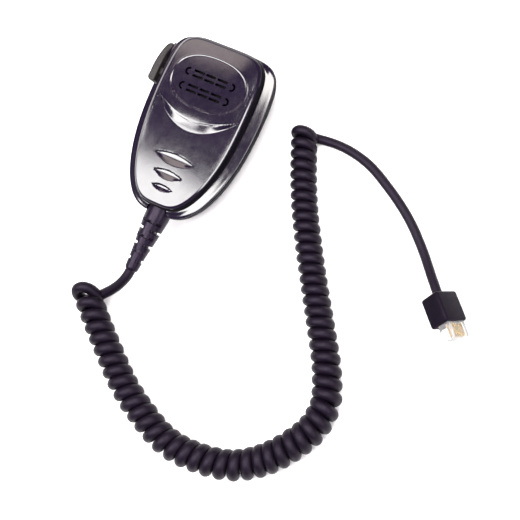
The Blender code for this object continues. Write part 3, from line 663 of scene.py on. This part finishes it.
# The sound slots' cutter: bars in rows, and a hook that joins each pair of rows at each end
def slotCutter(dims):
    places, lengths, turns = [], [], []
    for y in dims["rows"]:
        for left, right in dims["spans"]:
            places.append(((left + right) / 2, y, dims["middleZ"]))
            lengths.append((right - left) * toMetres)
            turns.append(0.0)
    for upper, lower in zip(dims["rows"][::2], dims["rows"][1::2]):
        for side in (-1, 1):
            places.append((side * dims["curlX"], (upper + lower) / 2, dims["middleZ"]))
            lengths.append(0.0)
            turns.append(math.radians(180.0 if side < 0 else 0.0))
    mesh = bpy.data.meshes.new("slot places")
    mesh.from_pydata([tuple(point) for point in np.array(places) * toMetres], [], [])
    mesh.attributes.new("length", "FLOAT", "POINT").data.foreach_set("value", lengths)
    mesh.attributes.new("turn", "FLOAT", "POINT").data.foreach_set("value", turns)
    cutter = bpy.data.objects.new("slot cutter", mesh)
    bpy.context.scene.collection.objects.link(cutter)

    tree = bpy.data.node_groups.new("sound slots", "GeometryNodeTree")
    face = tree.interface
    face.new_socket("Geometry", in_out="INPUT", socket_type="NodeSocketGeometry")
    sockets = {name: face.new_socket(name, in_out="INPUT", socket_type="NodeSocketFloat").identifier
               for name in ("Slot height", "Cut depth", "Hook radius", "Hook turn", "Hook width")}
    finish = face.new_socket("Finish", in_out="INPUT", socket_type="NodeSocketMaterial").identifier
    face.new_socket("Geometry", in_out="OUTPUT", socket_type="NodeSocketGeometry")
    nodes, links = tree.nodes, tree.links
    given, result = nodes.new("NodeGroupInput"), nodes.new("NodeGroupOutput")

    def attribute(name):
        node = nodes.new("GeometryNodeInputNamedAttribute")
        node.data_type = "FLOAT"
        node.inputs["Name"].default_value = name
        return node.outputs["Attribute"]

    def vector(**parts):
        node = nodes.new("ShaderNodeCombineXYZ")
        for axis in "XYZ":
            node.inputs[axis].default_value = 0.0
        for axis, source in parts.items():
            if isinstance(source, float):
                node.inputs[axis].default_value = source
            else:
                links.new(source, node.inputs[axis])
        return node.outputs["Vector"]

    isBar = nodes.new("FunctionNodeCompare")
    isBar.data_type = "FLOAT"
    isBar.operation = "GREATER_THAN"
    isBar.inputs["B"].default_value = 1e-5
    links.new(attribute("length"), isBar.inputs["A"])
    notBar = nodes.new("FunctionNodeBooleanMath")
    notBar.operation = "NOT"
    links.new(isBar.outputs["Result"], notBar.inputs[0])

    bar = nodes.new("GeometryNodeMeshCube")
    barSize = vector(X=1.0, Y=given.outputs["Slot height"], Z=given.outputs["Cut depth"])
    links.new(barSize, bar.inputs["Size"])
    bars = nodes.new("GeometryNodeInstanceOnPoints")
    links.new(given.outputs["Geometry"], bars.inputs["Points"])
    links.new(isBar.outputs["Result"], bars.inputs["Selection"])
    links.new(bar.outputs["Mesh"], bars.inputs["Instance"])
    links.new(vector(X=attribute("length"), Y=1.0, Z=1.0), bars.inputs["Scale"])

    arc = nodes.new("GeometryNodeCurveArc")
    arc.inputs["Resolution"].default_value = dims["curlSteps"]
    links.new(given.outputs["Hook radius"], arc.inputs["Radius"])
    links.new(given.outputs["Hook turn"], arc.inputs["Sweep Angle"])
    start = nodes.new("ShaderNodeMath")
    start.operation = "MULTIPLY"
    start.inputs[1].default_value = -0.5
    links.new(given.outputs["Hook turn"], start.inputs[0])
    links.new(start.outputs["Value"], arc.inputs["Start Angle"])
    section = nodes.new("GeometryNodeCurvePrimitiveQuadrilateral")
    links.new(given.outputs["Hook width"], section.inputs["Width"])
    links.new(given.outputs["Cut depth"], section.inputs["Height"])
    hook = nodes.new("GeometryNodeCurveToMesh")
    hook.inputs["Fill Caps"].default_value = True
    links.new(arc.outputs["Curve"], hook.inputs["Curve"])
    links.new(section.outputs["Curve"], hook.inputs["Profile Curve"])
    hooks = nodes.new("GeometryNodeInstanceOnPoints")
    links.new(given.outputs["Geometry"], hooks.inputs["Points"])
    links.new(notBar.outputs["Boolean"], hooks.inputs["Selection"])
    links.new(hook.outputs["Mesh"], hooks.inputs["Instance"])
    links.new(vector(Z=attribute("turn")), hooks.inputs["Rotation"])

    joined = nodes.new("GeometryNodeJoinGeometry")
    links.new(bars.outputs["Instances"], joined.inputs["Geometry"])
    links.new(hooks.outputs["Instances"], joined.inputs["Geometry"])
    real = nodes.new("GeometryNodeRealizeInstances")
    links.new(joined.outputs["Geometry"], real.inputs["Geometry"])
    painted = nodes.new("GeometryNodeSetMaterial")
    links.new(given.outputs["Finish"], painted.inputs["Material"])
    links.new(real.outputs["Geometry"], painted.inputs["Geometry"])
    links.new(painted.outputs["Geometry"], result.inputs["Geometry"])

    modifier = cutter.modifiers.new("slots", "NODES")
    modifier.node_group = tree
    modifier[sockets["Slot height"]] = dims["height"] * toMetres
    modifier[sockets["Cut depth"]] = dims["depth"] * toMetres
    modifier[sockets["Hook radius"]] = dims["curlRadius"] * toMetres
    modifier[sockets["Hook turn"]] = math.radians(dims["curlTurn"])
    modifier[sockets["Hook width"]] = dims["curlWidth"] * toMetres
    modifier[finish] = looks["shell"]
    solid = evaluated(cutter)
    cutter.modifiers.remove(modifier)
    bm = bmesh.new()
    bm.from_mesh(solid)
    bmesh.ops.remove_doubles(bm, verts=bm.verts, dist=1e-7)
    bmesh.ops.recalc_face_normals(bm, faces=bm.faces)
    bmesh.ops.triangulate(bm, faces=bm.faces)
    bm.to_mesh(solid)
    bm.free()
    cutter.data = solid
    return cutter


# rear shell

rearDims = {
    # half width, top, bottom and height of each ring, from the inner lip over the shoulder and down
    "outside": ((23.4, 41.2, -40.6, 23.1), (24.4, 42.2, -41.5, 23.1), (25.2, 42.9, -42.3, 23.05),
                (27.7, 43.35, -43.9, 22.45), (29.6, 43.7, -45.0, 22.0), (30.3, 43.9, -45.4, 21.7),
                (30.6, 44.0, -45.5, 20.9), (30.5, 43.9, -45.4, 19.4), (30.1, 43.5, -45.0, 17.0),
                (29.1, 42.7, -44.1, 13.6), (27.5, 41.4, -42.9, 10.6), (25.5, 39.9, -41.1, 8.0),
                (23.4, 38.2, -39.0, 6.5), (21.6, 36.8, -37.4, 6.0), (19.8, 35.0, -35.6, 6.0)),
    "inside": ((18.0, 33.5, -34.0, 8.2), (22.0, 37.0, -38.0, 9.2), (25.0, 39.4, -40.6, 11.6),
               (27.2, 41.0, -42.3, 15.0), (28.4, 42.0, -43.3, 20.2), (26.6, 41.8, -42.6, 21.2),
               (23.4, 41.2, -40.6, 21.6)),
    # below this height the side gets the darker, barely reflecting wall finish: partly matt, partly painted
    # shade
    "shadedMattBelow": 21.5,
    "notch": ((-40.0, 13.6, 10.8), (-28.4, 30.8, 26.0)),
    "notchEdge": 0.8,
    "hingePocket": ((-40.0, 30.6, 13.4), (-25.9, 35.3, 19.4)),
    "pocketEdge": 0.4,
    "backing": ((-28.9, 11.5, 9.6), (-25.4, 36.4, 22.0)),
    "window": ((-40.0, 17.8, 15.0), (-20.0, 24.2, 20.8)),
    "screws": ((-17.5, 33.5), (17.5, 33.5), (-10.5, -29.0), (10.5, -29.0)),
    "screwHole": (2.9, 8.6),  # radius and top
    "buttonHole": (4.7, 12.0),
    "profileStep": 0.42,
}


def makeRearShell(dims):
    profile = smoothPath(dims["outside"], dims["profileStep"])
    rings = [outlineRing(size[:3], size[3]) for size in dims["inside"]]
    rings += [outlineRing(size[:3], size[3]) for size in profile]
    shell = meshObject("rear_shell_fine", *skin(rings))
    combine(shell, block(*dims["backing"]), "UNION")
    combine(shell, block(*dims["notch"], dims["notchEdge"]))
    combine(shell, block(*dims["hingePocket"], dims["pocketEdge"]))
    combine(shell, block(*dims["window"]))
    combine(shell, reliefCutter(reliefHole))
    radius, top = dims["screwHole"]
    for place in dims["screws"]:
        combine(shell, rod(radius, place, 0.0, top))
    radius, top = dims["buttonHole"]
    combine(shell, rod(radius, (0.0, 0.0), 0.0, top))
    finishPiece(shell, looks["shell"], "microphone", ("rear_shell",))
    shell.data.materials.append(looks["wall"])
    # faces below the height get the darker wall finish: painted shade on the side, with a matt finish
    for face in shell.data.polygons:
        face.material_index = 0 if face.center.z > dims["shadedMattBelow"] * toMetres else 1
    return shell


# push-to-talk bar

barDims = {
    "outline": ((-30.9, 15.1), (-31.3, 14.8), (-34.1, 14.9), (-34.6, 15.4), (-34.9, 19.0), (-34.9, 22.5),
                (-34.5, 26.5), (-33.8, 30.0), (-32.9, 33.0), (-32.0, 34.8), (-31.0, 35.6), (-29.7, 35.7),
                (-28.9, 35.2), (-29.1, 34.0), (-30.1, 31.0), (-30.7, 27.0), (-30.9, 23.0), (-30.9, 19.0)),
    "bottom": 12.0,
    "top": 22.2,
    "edge": 0.7,
    "lug": ((-31.1, 31.3, 14.0), (-26.4, 34.7, 18.8)),
    "boss": ((-31.7, 19.4, 16.4), (-27.3, 22.6, 19.4)),
    "edgeSteps": 5,
    "outlineStep": 0.35,
    "lugEdge": 0.3,
    "pivot": (-27.9, 33.0),
    "bore": (0.93, 10.0, 24.0),  # radius, low end, high end
}


def makeBar(dims):
    flat = np.column_stack([dims["outline"] + dims["outline"][:1], np.zeros(len(dims["outline"]) + 1)])
    ring = smoothPath(flat, dims["outlineStep"])[:-1, :2]
    ahead = unit(np.roll(ring, -1, 0) - np.roll(ring, 1, 0))
    outward = np.stack([ahead[:, 1], -ahead[:, 0]], -1)
    if np.dot(outward[0], ring[0] - ring.mean(0)) < 0:
        outward = -outward
    rings = []
    steps = dims["edgeSteps"]
    for end, sign in ((dims["bottom"], 1), (dims["top"], -1)):
        rounded = []
        for step in range(steps + 1):
            angle = step / steps * math.pi / 2
            shape = ring - outward * dims["edge"] * (1 - math.sin(angle))
            height = end + sign * dims["edge"] * (1 - math.cos(angle))
            rounded.append(np.column_stack([shape, np.full(len(shape), height)]))
        rings += rounded if sign > 0 else rounded[::-1]
    bar = meshObject("ptt_bar_fine", *skin(rings))
    combine(bar, block(*dims["lug"], dims["lugEdge"]), "UNION")
    combine(bar, block(*dims["boss"], dims["lugEdge"]), "UNION")
    radius, low, high = dims["bore"]
    combine(bar, rod(radius, dims["pivot"], low, high))
    return finishPiece(bar, looks["bar"], "push_to_talk_bar", ("ptt_bar",))


# strain relief

reliefDims = {
    "start": (0.0, -38.2, 18.0),
    "tip": (-2.4, -76.2, 15.2),
    "profile": ((0.0, 7.4), (1.1, 7.4), (1.2, 6.15), (3.0, 6.3), (9.0, 6.25), (12.0, 6.0), (20.0, 5.15),
                (27.0, 4.2), (34.0, 3.65), (37.0, 3.4), (37.8, 3.0), (38.1, 2.6)),
    "core": 3.0,
    "topSlots": (11.8, 19.7, 27.8),
    "sideSlots": (15.9, 23.9, 32.0),
    "slotWidth": 1.5,
    "slotEdge": 0.01,  # half the distance between the two rings of a slot's wall
    "slotReach": (0.5, 0.36),  # how far the top and side slots go round: less is further
    "ringStep": 0.5,
    "sides": 72,
    "bore": (2.5, 14.0, 3.0),  # radius, depth from the tip, and how far the cutter stands out
    "boreSides": 32,
}


def cordBore(tip, axis, across, upward, dims):
    radius, depth, past = dims["bore"]
    angle = np.arange(dims["boreSides"]) * 2 * math.pi / dims["boreSides"]
    circle = radius * (np.cos(angle)[:, None] * across + np.sin(angle)[:, None] * upward)
    return meshObject("bore", *skin([tip - axis * depth + circle, tip + axis * past + circle]))


def makeRelief(dims):
    start, tip = np.array(dims["start"]), np.array(dims["tip"])
    axis = unit(tip - start)
    across = unit(np.cross(axis, (0.0, 0.0, 1.0)))
    upward = np.cross(across, axis)
    profile = np.array(dims["profile"])
    places = list(np.arange(0.0, profile[-1, 0], dims["ringStep"])) + list(profile[:, 0])
    half, gap = dims["slotWidth"] / 2, dims["slotEdge"]
    for middle in dims["topSlots"] + dims["sideSlots"]:
        places += [middle - half - gap, middle - half + gap, middle + half - gap, middle + half + gap]
    angle = np.arange(dims["sides"]) * 2 * math.pi / dims["sides"]
    onTop = np.abs(np.sin(angle)) > dims["slotReach"][0]
    onSide = np.abs(np.cos(angle)) > dims["slotReach"][1]
    rings = []
    for place in sorted(set(places)):
        radius = np.full(dims["sides"], np.interp(place, profile[:, 0], profile[:, 1]))
        for middles, share in ((dims["topSlots"], onTop), (dims["sideSlots"], onSide)):
            if min(abs(place - middle) for middle in middles) < half:
                radius = np.where(share, dims["core"], radius)
        centre = start + axis * place
        rings.append(centre + (radius * np.cos(angle))[:, None] * across
                     + (radius * np.sin(angle))[:, None] * upward)
    relief = meshObject("strain_relief_fine", *skin(rings))
    combine(relief, cordBore(tip, axis, across, upward, dims))
    return finishPiece(relief, looks["relief"], "microphone", ("strain_relief",))


# plug boot

plugDims = {
    "place": (141.9, -27.0, 8.7),
    "heading": -44.0,
    "pitch": -7.3,
    "roll": -55.8,
    "boot": (-0.5, 14.9, 14.4, 11.2),  # start, end, width, height along the plug's own axes
    "edge": 1.4,
    "pocket": ((1.0, -6.14, -2.65), (17.0, 6.14, 4.45)),
    "channel": ((9.0, -3.5, -4.75), (17.0, 3.5, 0.0)),
    "pocketEdge": 0.25,
}


def makeBoot(dims):
    start, end, width, height = dims["boot"]
    boot = block((start, -width / 2, -height / 2), (end, width / 2, height / 2), dims["edge"], 4)
    boot.name = boot.data.name = "plug_boot_fine"
    combine(boot, block(*dims["pocket"], dims["pocketEdge"]))
    combine(boot, block(*dims["channel"], dims["pocketEdge"]))
    turn = (Matrix.Rotation(math.radians(dims["heading"]), 4, "Z")
            @ Matrix.Rotation(math.radians(dims["pitch"]), 4, "Y")
            @ Matrix.Rotation(math.radians(dims["roll"]), 4, "X"))
    boot.data.transform(Matrix.Translation(Vector(dims["place"]) * toMetres) @ turn)
    return finishPiece(boot, looks["boot"], "microphone", ("plug_boot",))


# pieces that keep their CAD shape

keptLooks = {
    "steel": ("case_screw", "clamp_screw", "cord_clamp", "hang_button", "ptt_pivot_pin", "ptt_return_spring",
              "wire_shield"),
    "aluminium": ("mic_capsule", "filter_capacitor"),
    "gold": ("plug_contact",),
    "clear": ("plug_body", "plug_latch", "plug_crimp_bar"),
    "felt": ("dust_felt",),
    "board": ("circuit_board",),
    "rubber": ("capsule_boot", "ptt_window_seal"),
    "component": ("audio_chip", "ptt_switch_body", "wire_black"),
    "red": ("wire_red",),
    "white": ("wire_white", "wire_header", "ptt_switch_plunger"),
    "cord": ("cord_inner_end", "plug_cable_end"),
}


def paintKept():
    for name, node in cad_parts.items():
        for look, starts in keptLooks.items():
            if name.startswith(starts):
                node.data.materials.clear()
                node.data.materials.append(looks[look])


# build

paintKept()
makeFrontShell(faceDims)
print("front shell made")
makeRearShell(rearDims)
print("rear shell made")
makeBar(barDims)
relief = makeRelief(reliefDims)
boot = makeBoot(plugDims)
print("bar, strain relief and boot made")
cord, cordLine, cordLength = makeCord(cordDims)
